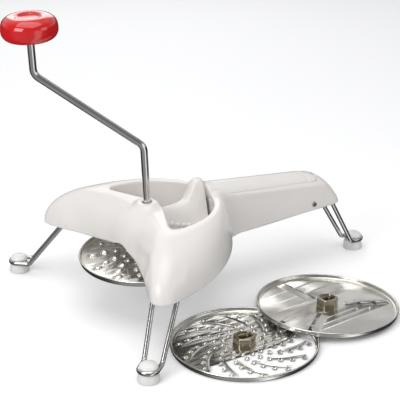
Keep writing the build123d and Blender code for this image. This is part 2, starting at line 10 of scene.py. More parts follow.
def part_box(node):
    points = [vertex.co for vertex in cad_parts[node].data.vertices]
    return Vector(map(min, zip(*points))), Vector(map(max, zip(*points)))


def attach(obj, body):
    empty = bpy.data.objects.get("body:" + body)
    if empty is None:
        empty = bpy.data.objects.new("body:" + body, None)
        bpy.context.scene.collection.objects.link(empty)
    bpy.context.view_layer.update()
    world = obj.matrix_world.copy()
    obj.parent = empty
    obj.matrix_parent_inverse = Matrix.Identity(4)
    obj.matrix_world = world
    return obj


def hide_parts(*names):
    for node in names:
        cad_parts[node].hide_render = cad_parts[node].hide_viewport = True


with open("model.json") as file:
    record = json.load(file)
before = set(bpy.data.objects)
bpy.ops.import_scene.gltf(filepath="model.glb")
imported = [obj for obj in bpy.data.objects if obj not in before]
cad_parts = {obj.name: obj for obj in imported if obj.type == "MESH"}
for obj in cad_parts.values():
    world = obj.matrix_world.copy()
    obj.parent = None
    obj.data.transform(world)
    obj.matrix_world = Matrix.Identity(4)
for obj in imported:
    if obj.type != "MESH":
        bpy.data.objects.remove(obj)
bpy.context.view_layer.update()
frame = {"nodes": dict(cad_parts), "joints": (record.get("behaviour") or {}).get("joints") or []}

print("rotary shredder: frame loaded,", len(frame["nodes"]), "nodes")

mm = 0.001
jointByName = {joint["name"]: joint for joint in frame["joints"]}


def jointFrame(name):
    # matrix whose origin and z are a joint's, x towards the handle, in metres
    joint = jointByName[name]
    up = Vector(joint["axis"]).normalized()
    ahead = Vector((1.0, 0.0, 0.0))
    ahead = (ahead - up * ahead.dot(up)).normalized()
    across = up.cross(ahead)
    place = Matrix((ahead, across, up)).transposed().to_4x4()
    place.translation = Vector(joint["pos_m"])
    return place


bodyPlace = jointFrame("crank_spin")      # fitted disc's plate, under the crank


def addMesh(name, verts, faces, place=None, smooth=True):
    # verts in millimetres of the place's own frame
    mesh = bpy.data.meshes.new(name)
    points = np.asarray(verts, dtype=float) * mm
    if place is not None:
        turn = np.array(place.to_3x3())
        points = points @ turn.T + np.array(place.translation)
    mesh.from_pydata(points.tolist(), [], [tuple(int(i) for i in face) for face in faces])
    mesh.validate()
    mesh.update()
    piece = bpy.data.objects.new(name, mesh)
    bpy.context.scene.collection.objects.link(piece)
    if smooth:
        mesh.shade_smooth()
    return piece


def applyAll(piece):
    # freeze the modifiers into the mesh
    bpy.context.view_layer.update()
    graph = bpy.context.evaluated_depsgraph_get()
    frozen = bpy.data.meshes.new_from_object(piece.evaluated_get(graph))
    piece.modifiers.clear()
    old = piece.data
    piece.data = frozen
    frozen.name = piece.name
    bpy.data.meshes.remove(old)
    return piece


def softEdges(piece, angle=35.0):
    # smooth shading with creases kept where faces meet sharply
    mesh = piece.data
    work = bmesh.new()
    work.from_mesh(mesh)
    bmesh.ops.remove_doubles(work, verts=work.verts, dist=1e-6)
    bmesh.ops.recalc_face_normals(work, faces=work.faces)
    limit = math.radians(angle)
    for face in work.faces:
        face.smooth = True
    for edge in work.edges:
        edge.smooth = not (len(edge.link_faces) == 2 and edge.calc_face_angle(0.0) > limit)
    work.to_mesh(mesh)
    work.free()
    return piece


def finishPiece(piece, body, slotName, material, *nodes):
    piece.data.materials.clear()
    piece.data.materials.append(material)
    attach(piece, body)
    if nodes:
        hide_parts(*nodes)
    return piece


# a moulding is where its field is below zero, in millimetres

def smoothMin(a, b, width):
    share = np.clip(0.5 + 0.5 * (b - a) / width, 0.0, 1.0)
    return b + (a - b) * share - width * share * (1.0 - share)


def smoothMax(a, b, width):
    return -smoothMin(-a, -b, width)


def easeStep(value):
    t = np.clip(value, 0.0, 1.0)
    return t * t * (3.0 - 2.0 * t)


def arcPoints(first, middle, last, count=60):
    # points along the circle through three points
    (ax, ay), (bx, by), (cx, cy) = first, middle, last
    d = 2 * (ax * (by - cy) + bx * (cy - ay) + cx * (ay - by))
    a2, b2, c2 = ax * ax + ay * ay, bx * bx + by * by, cx * cx + cy * cy
    ux = (a2 * (by - cy) + b2 * (cy - ay) + c2 * (ay - by)) / d
    uy = (a2 * (cx - bx) + b2 * (ax - cx) + c2 * (bx - ax)) / d
    radius = math.hypot(ax - ux, ay - uy)
    start = math.atan2(ay - uy, ax - ux)
    mid = (math.atan2(by - uy, bx - ux) - start) % (2 * math.pi)
    end = (math.atan2(cy - uy, cx - ux) - start) % (2 * math.pi)
    if mid > end:
        end -= 2 * math.pi
    turns = start + np.linspace(0, end, count)
    return np.stack([ux + radius * np.cos(turns), uy + radius * np.sin(turns)], 1)


def meshFromField(name, field, low, high, step, place):
    # surface nets on a grid, then each point is drawn on to the surface itself
    axes = [np.arange(a - step, b + 2 * step, step) for a, b in zip(low, high)]
    shape = tuple(len(axis) for axis in axes)
    values = np.empty(shape, np.float32)
    gx, gy = np.meshgrid(axes[0], axes[1], indexing="ij")
    for k, z in enumerate(axes[2]):
        values[:, :, k] = field(gx, gy, np.full_like(gx, z))
    inside = values < 0
    cells = tuple(n - 1 for n in shape)
    total = np.zeros(cells + (3,), np.float32)
    count = np.zeros(cells, np.int32)
    corners = [(i, j, k) for i in (0, 1) for j in (0, 1) for k in (0, 1)]

    def part(grid, corner):
        return grid[tuple(slice(c, c + n) for c, n in zip(corner, cells))]

    for first in corners:
        for axis in range(3):
            if first[axis]:
                continue
            second = tuple(c + (1 if i == axis else 0) for i, c in enumerate(first))
            a, b = part(values, first), part(values, second)
            cut = (a < 0) != (b < 0)
            share = np.where(cut, a / np.where(cut, a - b, 1.0), 0.0)
            for i in range(3):
                at = first[i] + (share if i == axis else 0.0)
                total[..., i] += np.where(cut, at, 0.0)
            count += cut
    used = count > 0
    index = np.full(cells, -1, np.int64)
    index[used] = np.arange(used.sum())
    where = np.argwhere(used)
    points = (where + total[used] / count[used][:, None]) * step + np.array([axis[0] for axis in axes])
    faces = []
    for axis in range(3):
        u, v = (axis + 1) % 3, (axis + 2) % 3
        span = [slice(1, n - 1) for n in shape]
        span[axis] = slice(0, shape[axis] - 1)
        ahead = list(span)
        ahead[axis] = slice(1, shape[axis])
        a, b = inside[tuple(span)], inside[tuple(ahead)]
        for outward, mask in ((True, a & ~b), (False, ~a & b)):
            base = np.argwhere(mask)
            for i in range(3):
                if i != axis:
                    base[:, i] += 1
            quad = []
            for du, dv in ((-1, -1), (0, -1), (0, 0), (-1, 0)):
                cell = base.copy()
                cell[:, u] += du
                cell[:, v] += dv
                quad.append(index[cell[:, 0], cell[:, 1], cell[:, 2]])
            quad = np.stack(quad if outward else quad[::-1], 1)
            faces.append(quad)
    faces = np.concatenate(faces)
    nudge = 0.05
    for turn in range(4):
        x, y, z = points.T
        here = field(x, y, z)
        slope = np.stack([
            field(x + nudge, y, z) - field(x - nudge, y, z),
            field(x, y + nudge, z) - field(x, y - nudge, z),
            field(x, y, z + nudge) - field(x, y, z - nudge)], 1) / (2 * nudge)
        steep = np.maximum((slope ** 2).sum(1), 0.15)
        move = -(here / steep)[:, None] * slope
        length = np.linalg.norm(move, axis=1)
        move *= np.minimum(1.0, 0.4 * step / np.maximum(length, 1e-9))[:, None]
        points = points + move
    print(name, len(points), "points")
    return addMesh(name, points, faces, place)


# node groups that the materials share

def addNode(tree, kind, values=None, **settings):
    node = tree.nodes.new(kind)
    for label, value in settings.items():
        setattr(node, label, value)
    for label, value in (values or {}).items():
        node.inputs[label].default_value = value
    return node


def joinNodes(tree, *links):
    # each link names a node and its output, then a node and its input
    for source, output, target, entry in links:
        tree.links.new(source.outputs[output], target.inputs[entry])


def newGroup(name, inputs, outputs):
    group = bpy.data.node_groups.new(name, "ShaderNodeTree")
    for label, kind, value in inputs:
        socket = group.interface.new_socket(name=label, in_out="INPUT", socket_type=kind)
        socket.default_value = value
    for label, kind in outputs:
        group.interface.new_socket(name=label, in_out="OUTPUT", socket_type=kind)
    return group, group.nodes.new("NodeGroupInput"), group.nodes.new("NodeGroupOutput")


def buildToneDrift():
    # two close tones that drift over a moulding or a sheet, with an uneven gloss
    group, take, give = newGroup("toneDrift", [
        ("Tone A", "NodeSocketColor", (0.8, 0.8, 0.8, 1)), ("Tone B", "NodeSocketColor", (0.7, 0.7, 0.7, 1)),
        ("Scale", "NodeSocketFloat", 20.0), ("Gloss Low", "NodeSocketFloat", 0.2),
        ("Gloss High", "NodeSocketFloat", 0.3)],
        [("Color", "NodeSocketColor"), ("Roughness", "NodeSocketFloat")])
    where = addNode(group, "ShaderNodeTexCoord")
    noise = addNode(group, "ShaderNodeTexNoise", {"Detail": 4.0})
    spread = addNode(group, "ShaderNodeMapRange", {"From Min": 0.35, "From Max": 0.65})
    mix = addNode(group, "ShaderNodeMix", data_type="RGBA")
    gloss = addNode(group, "ShaderNodeMapRange")
    joinNodes(group, (where, "Object", noise, "Vector"), (take, "Scale", noise, "Scale"),
              (noise, "Fac", spread, "Value"), (spread, "Result", mix, "Factor"),
              (take, "Tone A", mix, "A"), (take, "Tone B", mix, "B"),
              (noise, "Fac", gloss, "Value"), (take, "Gloss Low", gloss, "To Min"),
              (take, "Gloss High", gloss, "To Max"), (mix, "Result", give, "Color"),
              (gloss, "Result", give, "Roughness"))
    return group


def buildSurfaceGrain():
    # fine surface texture as a height: a soft waviness with a finer grain on it
    group, take, give = newGroup("surfaceGrain", [
        ("Wave Scale", "NodeSocketFloat", 30.0), ("Grain Scale", "NodeSocketFloat", 900.0),
        ("Grain Share", "NodeSocketFloat", 0.3)], [("Height", "NodeSocketFloat")])
    where = addNode(group, "ShaderNodeTexCoord")
    wave = addNode(group, "ShaderNodeTexNoise", {"Detail": 1.0})
    grain = addNode(group, "ShaderNodeTexNoise", {"Detail": 2.0})
    mix = addNode(group, "ShaderNodeMix", data_type="FLOAT")
    for node, label in ((wave, "Wave Scale"), (grain, "Grain Scale")):
        joinNodes(group, (where, "Object", node, "Vector"), (take, label, node, "Scale"))
    joinNodes(group, (take, "Grain Share", mix, "Factor"), (wave, "Fac", mix, "A"),
              (grain, "Fac", mix, "B"), (mix, "Result", give, "Height"))
    return group


def buildPolishMarks():
    # polishing marks drawn out along z, as a mask
    group, take, give = newGroup("polishMarks", [
        ("Scale", "NodeSocketFloat", 60.0), ("Stretch", "NodeSocketFloat", 12.0)],
        [("Mask", "NodeSocketFloat")])
    where = addNode(group, "ShaderNodeTexCoord")
    join = addNode(group, "ShaderNodeCombineXYZ", {"X": 1.0, "Y": 1.0})
    scale = addNode(group, "ShaderNodeVectorMath", operation="MULTIPLY")
    noise = addNode(group, "ShaderNodeTexNoise", {"Detail": 6.0})
    joinNodes(group, (take, "Stretch", join, "Z"), (where, "Object", scale, 0),
              (join, "Vector", scale, 1), (scale, "Vector", noise, "Vector"),
              (take, "Scale", noise, "Scale"), (noise, "Fac", give, "Mask"))
    return group


toneDrift = buildToneDrift()
surfaceGrain = buildSurfaceGrain()
polishMarks = buildPolishMarks()

finishes = {
    "whiteShell": dict(toneA=(0.815, 0.785, 0.755), toneB=(0.785, 0.752, 0.720), scale=14, gloss=(0.24, 0.34),
                       wave=26, grain=1400, share=0.25, bump=0.05, depth=0.0004, coat=0.25, coatRough=0.18),
    "whiteLever": dict(toneA=(0.817, 0.787, 0.757), toneB=(0.787, 0.754, 0.722), scale=18, gloss=(0.25, 0.35),
                       wave=30, grain=1400, share=0.25, bump=0.05, depth=0.0004, coat=0.25, coatRough=0.18),
    "whiteFoot": dict(toneA=(0.83, 0.82, 0.80), toneB=(0.79, 0.78, 0.755), scale=60, gloss=(0.3, 0.42),
                      wave=90, grain=1800, share=0.4, bump=0.08, depth=0.0003, coat=0.1, coatRough=0.25),
    "naturalNylon": dict(toneA=(0.74, 0.72, 0.64), toneB=(0.68, 0.66, 0.58), scale=80, gloss=(0.4, 0.55),
                         wave=120, grain=2000, share=0.5, bump=0.1, depth=0.0003, coat=0.0, coatRough=0.3),
    "redKnob": dict(toneA=(0.60, 0.010, 0.012), toneB=(0.52, 0.006, 0.009), scale=24, gloss=(0.10, 0.17),
                    wave=40, grain=1200, share=0.2, bump=0.03, depth=0.0004, coat=0.7, coatRough=0.05),
    "redCap": dict(toneA=(0.56, 0.010, 0.012), toneB=(0.48, 0.006, 0.009), scale=60, gloss=(0.14, 0.22),
                   wave=60, grain=1200, share=0.2, bump=0.03, depth=0.0004, coat=0.6, coatRough=0.08),
}
metals = {
    "chromeRod": dict(toneA=(0.76, 0.755, 0.75), toneB=(0.68, 0.675, 0.67), scale=40, gloss=(0.05, 0.13),
                      wave=60, grain=900, share=0.3, bump=0.04, depth=0.0002, marks=30, stretch=0.1),
    "chromeWire": dict(toneA=(0.70, 0.695, 0.69), toneB=(0.60, 0.595, 0.59), scale=60, gloss=(0.07, 0.14),
                       wave=30, grain=300, share=0.1, bump=0.02, depth=0.0002, marks=50, stretch=0.2),
    "polishedSheet": dict(toneA=(0.84, 0.83, 0.79), toneB=(0.74, 0.725, 0.68), scale=32, gloss=(0.12, 0.22),
                          wave=34, grain=600, share=0.12, bump=0.35, depth=0.0006, marks=90, stretch=1.0),
    "platedHub": dict(toneA=(0.50, 0.44, 0.34), toneB=(0.36, 0.31, 0.22), scale=90, gloss=(0.14, 0.28),
                      wave=160, grain=1200, share=0.3, bump=0.15, depth=0.0003, marks=120, stretch=0.5),
    "plainPin": dict(toneA=(0.60, 0.60, 0.60), toneB=(0.50, 0.50, 0.49), scale=120, gloss=(0.2, 0.35),
                     wave=200, grain=1500, share=0.4, bump=0.1, depth=0.0002, marks=200, stretch=0.3),
}


marksInGloss = 0.12      # how much the polishing marks roughen a metal


def startMaterial(name, look):
    material = bpy.data.materials.new(name)
    material.use_nodes = True
    tree = material.node_tree
    shader = tree.nodes["Principled BSDF"]
    tone = addNode(tree, "ShaderNodeGroup", {
        "Tone A": (*look["toneA"], 1), "Tone B": (*look["toneB"], 1), "Scale": look["scale"],
        "Gloss Low": look["gloss"][0], "Gloss High": look["gloss"][1]}, node_tree=toneDrift)
    grain = addNode(tree, "ShaderNodeGroup", {
        "Wave Scale": look["wave"], "Grain Scale": look["grain"], "Grain Share": look["share"]},
        node_tree=surfaceGrain)
    bump = addNode(tree, "ShaderNodeBump", {"Strength": look["bump"], "Distance": look["depth"]})
    joinNodes(tree, (tone, "Color", shader, "Base Color"),
              (tone, "Roughness", shader, "Roughness"),
              (grain, "Height", bump, "Height"), (bump, "Normal", shader, "Normal"))
    return material, shader, tone


def plastic(name):
    look = finishes[name]
    material, shader = startMaterial(name, look)[:2]
    shader.inputs["IOR"].default_value = 1.5
    shader.inputs["Coat Weight"].default_value = look["coat"]
    shader.inputs["Coat Roughness"].default_value = look["coatRough"]
    return material


def metal(name):
    look = metals[name]
    material, shader, tone = startMaterial(name, look)
    tree = material.node_tree
    shader.inputs["Metallic"].default_value = 1.0
    marks = addNode(tree, "ShaderNodeGroup", {"Scale": look["marks"], "Stretch": look["stretch"]},
                    node_tree=polishMarks)
    rough = addNode(tree, "ShaderNodeMath", {1: marksInGloss}, operation="MULTIPLY_ADD")
    joinNodes(tree, (marks, "Mask", rough, 0), (tone, "Roughness", rough, 2),
              (rough, "Value", shader, "Roughness"))
    return material


materials = {name: plastic(name) for name in finishes}
materials.update({name: metal(name) for name in metals})
print("materials ready:", len(materials))

# camera, light and floor

view = {"target": (0.0426, -0.0241, 0.0565), "eye": (-0.5726, -1.0150, 0.5253), "lens": 117.0}
crankFoot = bodyPlace.translation

cameraData = bpy.data.cameras.new("studioCamera")
cameraData.lens = view["lens"]
cameraData.sensor_width = 36.0
camera = bpy.data.objects.new("studioCamera", cameraData)
camera.location = crankFoot + Vector(view["eye"])
aim = Vector(view["target"]) - Vector(view["eye"])
camera.rotation_euler = aim.to_track_quat("-Z", "Y").to_euler()
bpy.context.scene.collection.objects.link(camera)
bpy.context.scene.camera = camera

lamps = {
    "topBox": dict(at=(-0.25, -0.15, 1.25), size=1.3, watts=7.6, aim=(0, 0, 0.05)),
    "leftBox": dict(at=(-1.3, -0.35, 0.75), size=0.8, watts=7.4, aim=(-0.05, 0, 0.06)),
    "rightBox": dict(at=(0.75, -1.15, 0.6), size=0.7, watts=1.9, aim=(0, 0, 0.06)),
    "backBox": dict(at=(0.5, 1.2, 0.8), size=0.8, watts=2.6, aim=(0, 0, 0.06)),
}
for name, lamp in lamps.items():
    data = bpy.data.lights.new(name, "AREA")
    data.shape = "RECTANGLE"
    data.size = lamp["size"]
    data.size_y = lamp["size"] * 0.8
    data.energy = lamp["watts"]
    light = bpy.data.objects.new(name, data)
    light.location = lamp["at"]
    light.rotation_euler = (Vector(lamp["aim"]) - Vector(lamp["at"])).to_track_quat("-Z", "Y").to_euler()
    bpy.context.scene.collection.objects.link(light)

glowLook = {"toEye": (-0.527, -0.85, 0.0), "toStrip": (0.16575, -0.98532, 0.0), "horizon": (0.03, 0.22),
            "front": (0.1, 0.7, 0.035, 0.30), "strip": (0.95, 0.99, 0.0, 0.9), "back": (-0.9, 0.3, 0.72, 0.18),
            "clutter": (0.35, 0.6, 0.62, 1.0), "clutterScale": 3.2}


def buildGlow():
    # what polished metal sees: dark round the horizon with one bright strip, light high up behind
    group, take, give = newGroup("studioGlow", [("Direction", "NodeSocketVector", (0, 0, 1))],
                                 [("Color", "NodeSocketColor")])

    def ramp(source, output, low, high, toLow, toHigh):
        node = addNode(group, "ShaderNodeMapRange", {
            "From Min": low, "From Max": high, "To Min": toLow, "To Max": toHigh},
            interpolation_type="SMOOTHSTEP")
        joinNodes(group, (source, output, node, "Value"))
        return node

    def sums(first, second, operation):
        node = addNode(group, "ShaderNodeMath", operation=operation)
        joinNodes(group, (first, "Result", node, 0), (second, "Result", node, 1))
        return node

    look = glowLook
    flat = addNode(group, "ShaderNodeVectorMath", {1: (1, 1, 0)}, operation="MULTIPLY")
    level = addNode(group, "ShaderNodeVectorMath", operation="NORMALIZE")
    facing = addNode(group, "ShaderNodeVectorMath", {1: look["toEye"]}, operation="DOT_PRODUCT")
    strip = addNode(group, "ShaderNodeVectorMath", {1: look["toStrip"]}, operation="DOT_PRODUCT")
    noise = addNode(group, "ShaderNodeTexNoise", {"Scale": look["clutterScale"], "Detail": 1.0})
    split = addNode(group, "ShaderNodeSeparateXYZ")
    mix = addNode(group, "ShaderNodeMix", data_type="FLOAT")
    tone = addNode(group, "ShaderNodeCombineColor")
    low = sums(ramp(facing, "Value", *look["front"]), ramp(strip, "Value", *look["strip"]), "ADD")
    high = sums(ramp(facing, "Value", *look["back"]), ramp(noise, "Fac", *look["clutter"]), "MULTIPLY")
    joinNodes(group, (take, "Direction", flat, 0), (flat, "Vector", level, 0),
              (level, "Vector", facing, 0), (level, "Vector", strip, 0),
              (take, "Direction", noise, "Vector"), (take, "Direction", split, "Vector"),
              (ramp(split, "Z", *look["horizon"], 0.0, 1.0), "Result", mix, "Factor"),
              (low, "Value", mix, "A"), (high, "Value", mix, "B"), (tone, "Color", give, "Color"))
    for label in ("Red", "Green", "Blue"):
        joinNodes(group, (mix, "Result", tone, label))
    return group


studioGlow = buildGlow()
world = bpy.data.worlds.new("studio")
bpy.context.scene.world = world
world.use_nodes = True
tree = world.node_tree
tree.nodes.clear()
path = addNode(tree, "ShaderNodeLightPath")
where = addNode(tree, "ShaderNodeTexCoord")
glow = addNode(tree, "ShaderNodeGroup", node_tree=studioGlow)
soft = addNode(tree, "ShaderNodeBackground", {"Color": (0.97, 0.98, 1.0, 1), "Strength": 0.44})
seen = addNode(tree, "ShaderNodeBackground", {"Color": (1, 1, 1, 1), "Strength": 1.0})
mirror = addNode(tree, "ShaderNodeBackground")
mixMirror = addNode(tree, "ShaderNodeMixShader")
mixSeen = addNode(tree, "ShaderNodeMixShader")
out = addNode(tree, "ShaderNodeOutputWorld")
joinNodes(tree, (where, "Generated", glow, "Direction"), (glow, "Color", mirror, "Color"),
          (path, "Is Glossy Ray", mixMirror, "Fac"), (soft, "Background", mixMirror, 1),
          (mirror, "Background", mixMirror, 2), (path, "Is Camera Ray", mixSeen, "Fac"),
          (mixMirror, "Shader", mixSeen, 1), (seen, "Background", mixSeen, 2),
          (mixSeen, "Shader", out, "Surface"))


def stagePanel(name, centre, across, up, halfWidth, halfHeight):
    a, b, c = Vector(across).normalized() * halfWidth, Vector(up).normalized() * halfHeight, Vector(centre)
    corners = [c - a - b, c + a - b, c + a + b, c - a + b]
    return addMesh(name, [tuple(p / mm) for p in corners], [(0, 1, 2, 3)], smooth=False)


floorLook = {"half": 6.0, "tone": (0.86, 0.86, 0.865, 1), "lift": 0.24, "shadeReach": 0.03}
floor = stagePanel("studioFloor", (0, 0, 0), (1, 0, 0), (0, 1, 0), floorLook["half"], floorLook["half"])
floorPaint = bpy.data.materials.new("studioFloor")
floorPaint.use_nodes = True
tree = floorPaint.node_tree
tree.nodes.clear()
path = addNode(tree, "ShaderNodeLightPath")
diffuse = addNode(tree, "ShaderNodeBsdfDiffuse", {"Color": floorLook["tone"]})
lift = addNode(tree, "ShaderNodeEmission", {"Color": (1, 1, 1, 1)})
strength = addNode(tree, "ShaderNodeMath", {1: floorLook["lift"]}, operation="MULTIPLY")
# the floor's glow for the camera is scaled by ambient occlusion, so it fades under the discs and beside the
# feet: painted contact shade
shade = addNode(tree, "ShaderNodeAmbientOcclusion", {"Distance": floorLook["shadeReach"]})
shaded = addNode(tree, "ShaderNodeMath", operation="MULTIPLY")
both = addNode(tree, "ShaderNodeAddShader")
arrival = addNode(tree, "ShaderNodeNewGeometry")
turn = addNode(tree, "ShaderNodeVectorMath", operation="SCALE")
turn.inputs["Scale"].default_value = -1.0
# in reflections the floor shows the studio glow for the reflected ray's direction instead of its own lit
# colour: a painted reflection
glow = addNode(tree, "ShaderNodeGroup", node_tree=studioGlow)
paintedFloorReflection = addNode(tree, "ShaderNodeEmission")
either = addNode(tree, "ShaderNodeMixShader")
out = addNode(tree, "ShaderNodeOutputMaterial")
joinNodes(tree, (path, "Is Camera Ray", strength, 0), (strength, "Value", shaded, 0),
          (shade, "AO", shaded, 1), (shaded, "Value", lift, "Strength"),
          (diffuse, "BSDF", both, 0), (lift, "Emission", both, 1),
          (arrival, "Incoming", turn, 0), (turn, "Vector", glow, "Direction"),
          (glow, "Color", paintedFloorReflection, "Color"), (path, "Is Glossy Ray", either, "Fac"),
          (both, "Shader", either, 1), (paintedFloorReflection, "Emission", either, 2),
          (either, "Shader", out, "Surface"))
floor.data.materials.append(floorPaint)
bpy.context.scene.view_settings.view_transform = "Standard"
print("studio ready")

# body shell with its handle

shellLook = {
    "wall": 2.5, "rimLevel": 10.0, "crownLevel": 52.0, "centreX": 25.0,
    "rim": [(-32, 0), (-61, 104), (-57.5, 117), (-44, 121), (26, 90), (76, 30), (84, 0)],
    "crown": [(-4, 0), (-13, 54), (-12, 61.5), (-5, 65.5), (46, 51), (66, 21), (69, 0)],
    "handleStart": 60.0, "handleLength": 162.0, "handleBlend": 13.0, "handleTop": (60.8, -24.2),
    "handleFoot": (25.0, -3.0), "handleShoulder": (15.5, 3.5), "handleSag": (11.4, -0.8),
    "bossTop": 55.6, "bossRadius": 9.5, "bossBlend": 8.0, "bossDrop": (-9.0, 0.0, 12.0, 20.0),
    "bossFlare": (-5.6, 0.0, 7.5, 8.5), "hubRoom": 12.5, "bore": 4.7, "bushSeat": 5.52,
    "hopperRadius": 64.5, "hopperFront": 9.7, "hopperHalf": 14.0, "hopperSlope": 0.433, "hopperCorner": 12.0,
    "earPivot": (-35.0, 96.5, 19.0), "earLean": (-43.0, 39.5), "earMiddle": 17.9, "earRadius": 7.0,
    "wireHole": 2.35, "rearHole": (184.5, 12.2), "swell": (-48.8, 81.5, 19.0),
    "channelHalf": 15.0, "channelDepth": 13.0, "hinge": (181.0, 30.0), "tailRadius": 15.6, "gap": 0.35,
    "tailCorner": 7.0, "step": 1.25,
}


def polarOutline(points):
    # radius from the dome's centre for each half-degree step of angle, softened at its corners
    full = points + [(x, -y) for x, y in points[-2:0:-1]]
    traced = []
    for start in range(-1, len(full) - 1, 2):
        traced.append(arcPoints(full[start], full[start + 1], full[(start + 2) % len(full)]))
    traced = np.concatenate(traced)
    traced = traced[traced[:, 1] >= -1e-6]
    angle = np.arctan2(traced[:, 1], traced[:, 0] - shellLook["centreX"])
    radius = np.hypot(traced[:, 0] - shellLook["centreX"], traced[:, 1])
    order = np.argsort(angle)
    steps = np.radians(np.arange(-10, 190.01, 0.25))
    folded = np.where(steps > math.pi, 2 * math.pi - steps, np.abs(steps))
    exact = np.interp(folded, angle[order], radius[order])
    kernel = np.hanning(31)
    kernel /= kernel.sum()
    return steps, np.convolve(np.pad(exact, 15, mode="edge"), kernel, mode="valid")


rimSteps, rimRadius = polarOutline(shellLook["rim"])
crownSteps, crownRadius = polarOutline(shellLook["crown"])


def spreadOf(x, side):
    # 0 at the crown outline, 1 at the rim outline
    angle = np.arctan2(side, x - shellLook["centreX"])
    radius = np.hypot(x - shellLook["centreX"], side)
    inner = np.interp(angle, crownSteps, crownRadius)
    outer = np.interp(angle, rimSteps, rimRadius)
    outer = outer - 2.2 * np.exp(-((side - 29.0) / 15.0) ** 2) * (x < 0)
    return np.maximum((radius - inner) / (outer - inner), 0.0)


def domeField(x, side, z):
    height = shellLook["crownLevel"] - shellLook["rimLevel"]
    spread = spreadOf(x, side)
    nudge = 0.5
    slopeX = (spreadOf(x + nudge, side) - spreadOf(x - nudge, side)) / (2 * nudge)
    slopeY = (spreadOf(x, side + nudge) - spreadOf(x, np.abs(side - nudge))) / (2 * nudge)
    rise = np.maximum((z - shellLook["rimLevel"]) / height, 0.0)
    reach = np.maximum(np.sqrt(spread ** 2 + rise ** 2), 0.2)
    steep = np.sqrt((spread ** 2 * (slopeX ** 2 + slopeY ** 2) + (rise / height) ** 2)) / reach
    return (reach - 1.0) / np.maximum(steep, 0.006)


def along(name, share):
    # a handle measure that runs straight from its front to its rear
    start, change = shellLook[name]
    return start + change * share


def crownLine(x):
    return along("handleTop", (x - shellLook["handleStart"]) / shellLook["handleLength"])


def softCurve(points, spacing=0.25, window=25):
    # a line through the points with its corners softened
    xs, zs = zip(*points)
    at = np.arange(xs[0], xs[-1] + spacing, spacing)
    kernel = np.hanning(window)
    kernel /= kernel.sum()
    half = window // 2
    return at, np.convolve(np.pad(np.interp(at, xs, zs), half, mode="edge"), kernel, mode="valid")


endAt, endLine = softCurve([(-20, 219), (8, 219), (12, 218), (20, 213.4), (28, 207.8), (35, 202.6), (40.2, 197),
                            (46, 187), (90, 110)])


def handleField(x, side, z):
    share = np.clip((x - shellLook["handleStart"]) / shellLook["handleLength"], 0.0, 1.0)
    foot, top = along("handleFoot", share), along("handleTop", share)
    shoulder, sag = along("handleShoulder", share), along("handleSag", share)
    arcRadius = (shoulder ** 2 + sag ** 2) / (2 * sag)
    cap = np.hypot(side, z - (top - arcRadius)) - arcRadius
    slope = (foot - shoulder) / (top - sag)
    flank = (side - foot + slope * z) / np.sqrt(1 + slope ** 2)
    blend = easeStep((z - (top - sag) + 3.0) / 6.0)
    section = flank * (1 - blend) + cap * blend
    endX = np.interp(z, endAt, endLine)
    lean = (np.interp(z + 0.5, endAt, endLine) - np.interp(z - 0.5, endAt, endLine))
    end = (x - endX) / np.sqrt(1 + lean ** 2)
    return smoothMax(smoothMax(section, end, 10.0), 52.0 - x, 4.0)


def hopperPlan(x, side):
    # the half-moon opening in plan
    past = np.maximum(side - shellLook["hopperHalf"], 0.0)
    front = (shellLook["hopperFront"] - shellLook["hopperSlope"] * past - x) / np.where(past > 0, 1.09, 1.0)
    return smoothMax(front, np.hypot(x, side) - shellLook["hopperRadius"], shellLook["hopperCorner"])


def tailLimit(side):
    # the lever's rear end is rounded in plan: its radius round the hinge, across its width
    corner = shellLook["tailCorner"]
    past = np.clip(side - (shellLook["channelHalf"] - 0.35 - corner), 0.0, corner)
    return shellLook["tailRadius"] - (corner - np.sqrt(np.maximum(corner ** 2 - past ** 2, 0.0)))


def channelField(x, side, z):
    # the lever's channel with the pocket that its rear end turns down into
    hingeX, hingeZ = shellLook["hinge"]
    half = side - shellLook["channelHalf"]
    floorZ = crownLine(x) - shellLook["channelDepth"]
    arm = np.maximum(np.maximum(floorZ - z, 58.0 - x), x - hingeX)
    ring = np.hypot(x - hingeX, z - hingeZ)
    low = math.radians(53.0)
    wedge = -((z - hingeZ) * math.cos(low) + (x - hingeX) * math.sin(low))
    pocket = np.maximum(np.maximum(ring - tailLimit(side) - shellLook["gap"], wedge), hingeX - x)
    knuckle = ring - 7.35
    return np.maximum(half, np.minimum(np.minimum(arm, pocket), knuckle))


def earField(x, side, z):
    # the ears under the shell that hold a front leg's wire
    px, py, pz = shellLook["earPivot"]
    outX, outY = Vector(shellLook["earLean"]).normalized()
    reach = (x - px) * outX + (side - py) * outY
    across = np.abs(-(x - px) * outY + (side - py) * outX)
    disc = np.where(z > pz, np.abs(reach), np.hypot(reach, z - pz)) - shellLook["earRadius"]
    return np.maximum(np.abs(across - shellLook["earMiddle"]) - 1.5, disc), across, np.hypot(reach, z - pz)


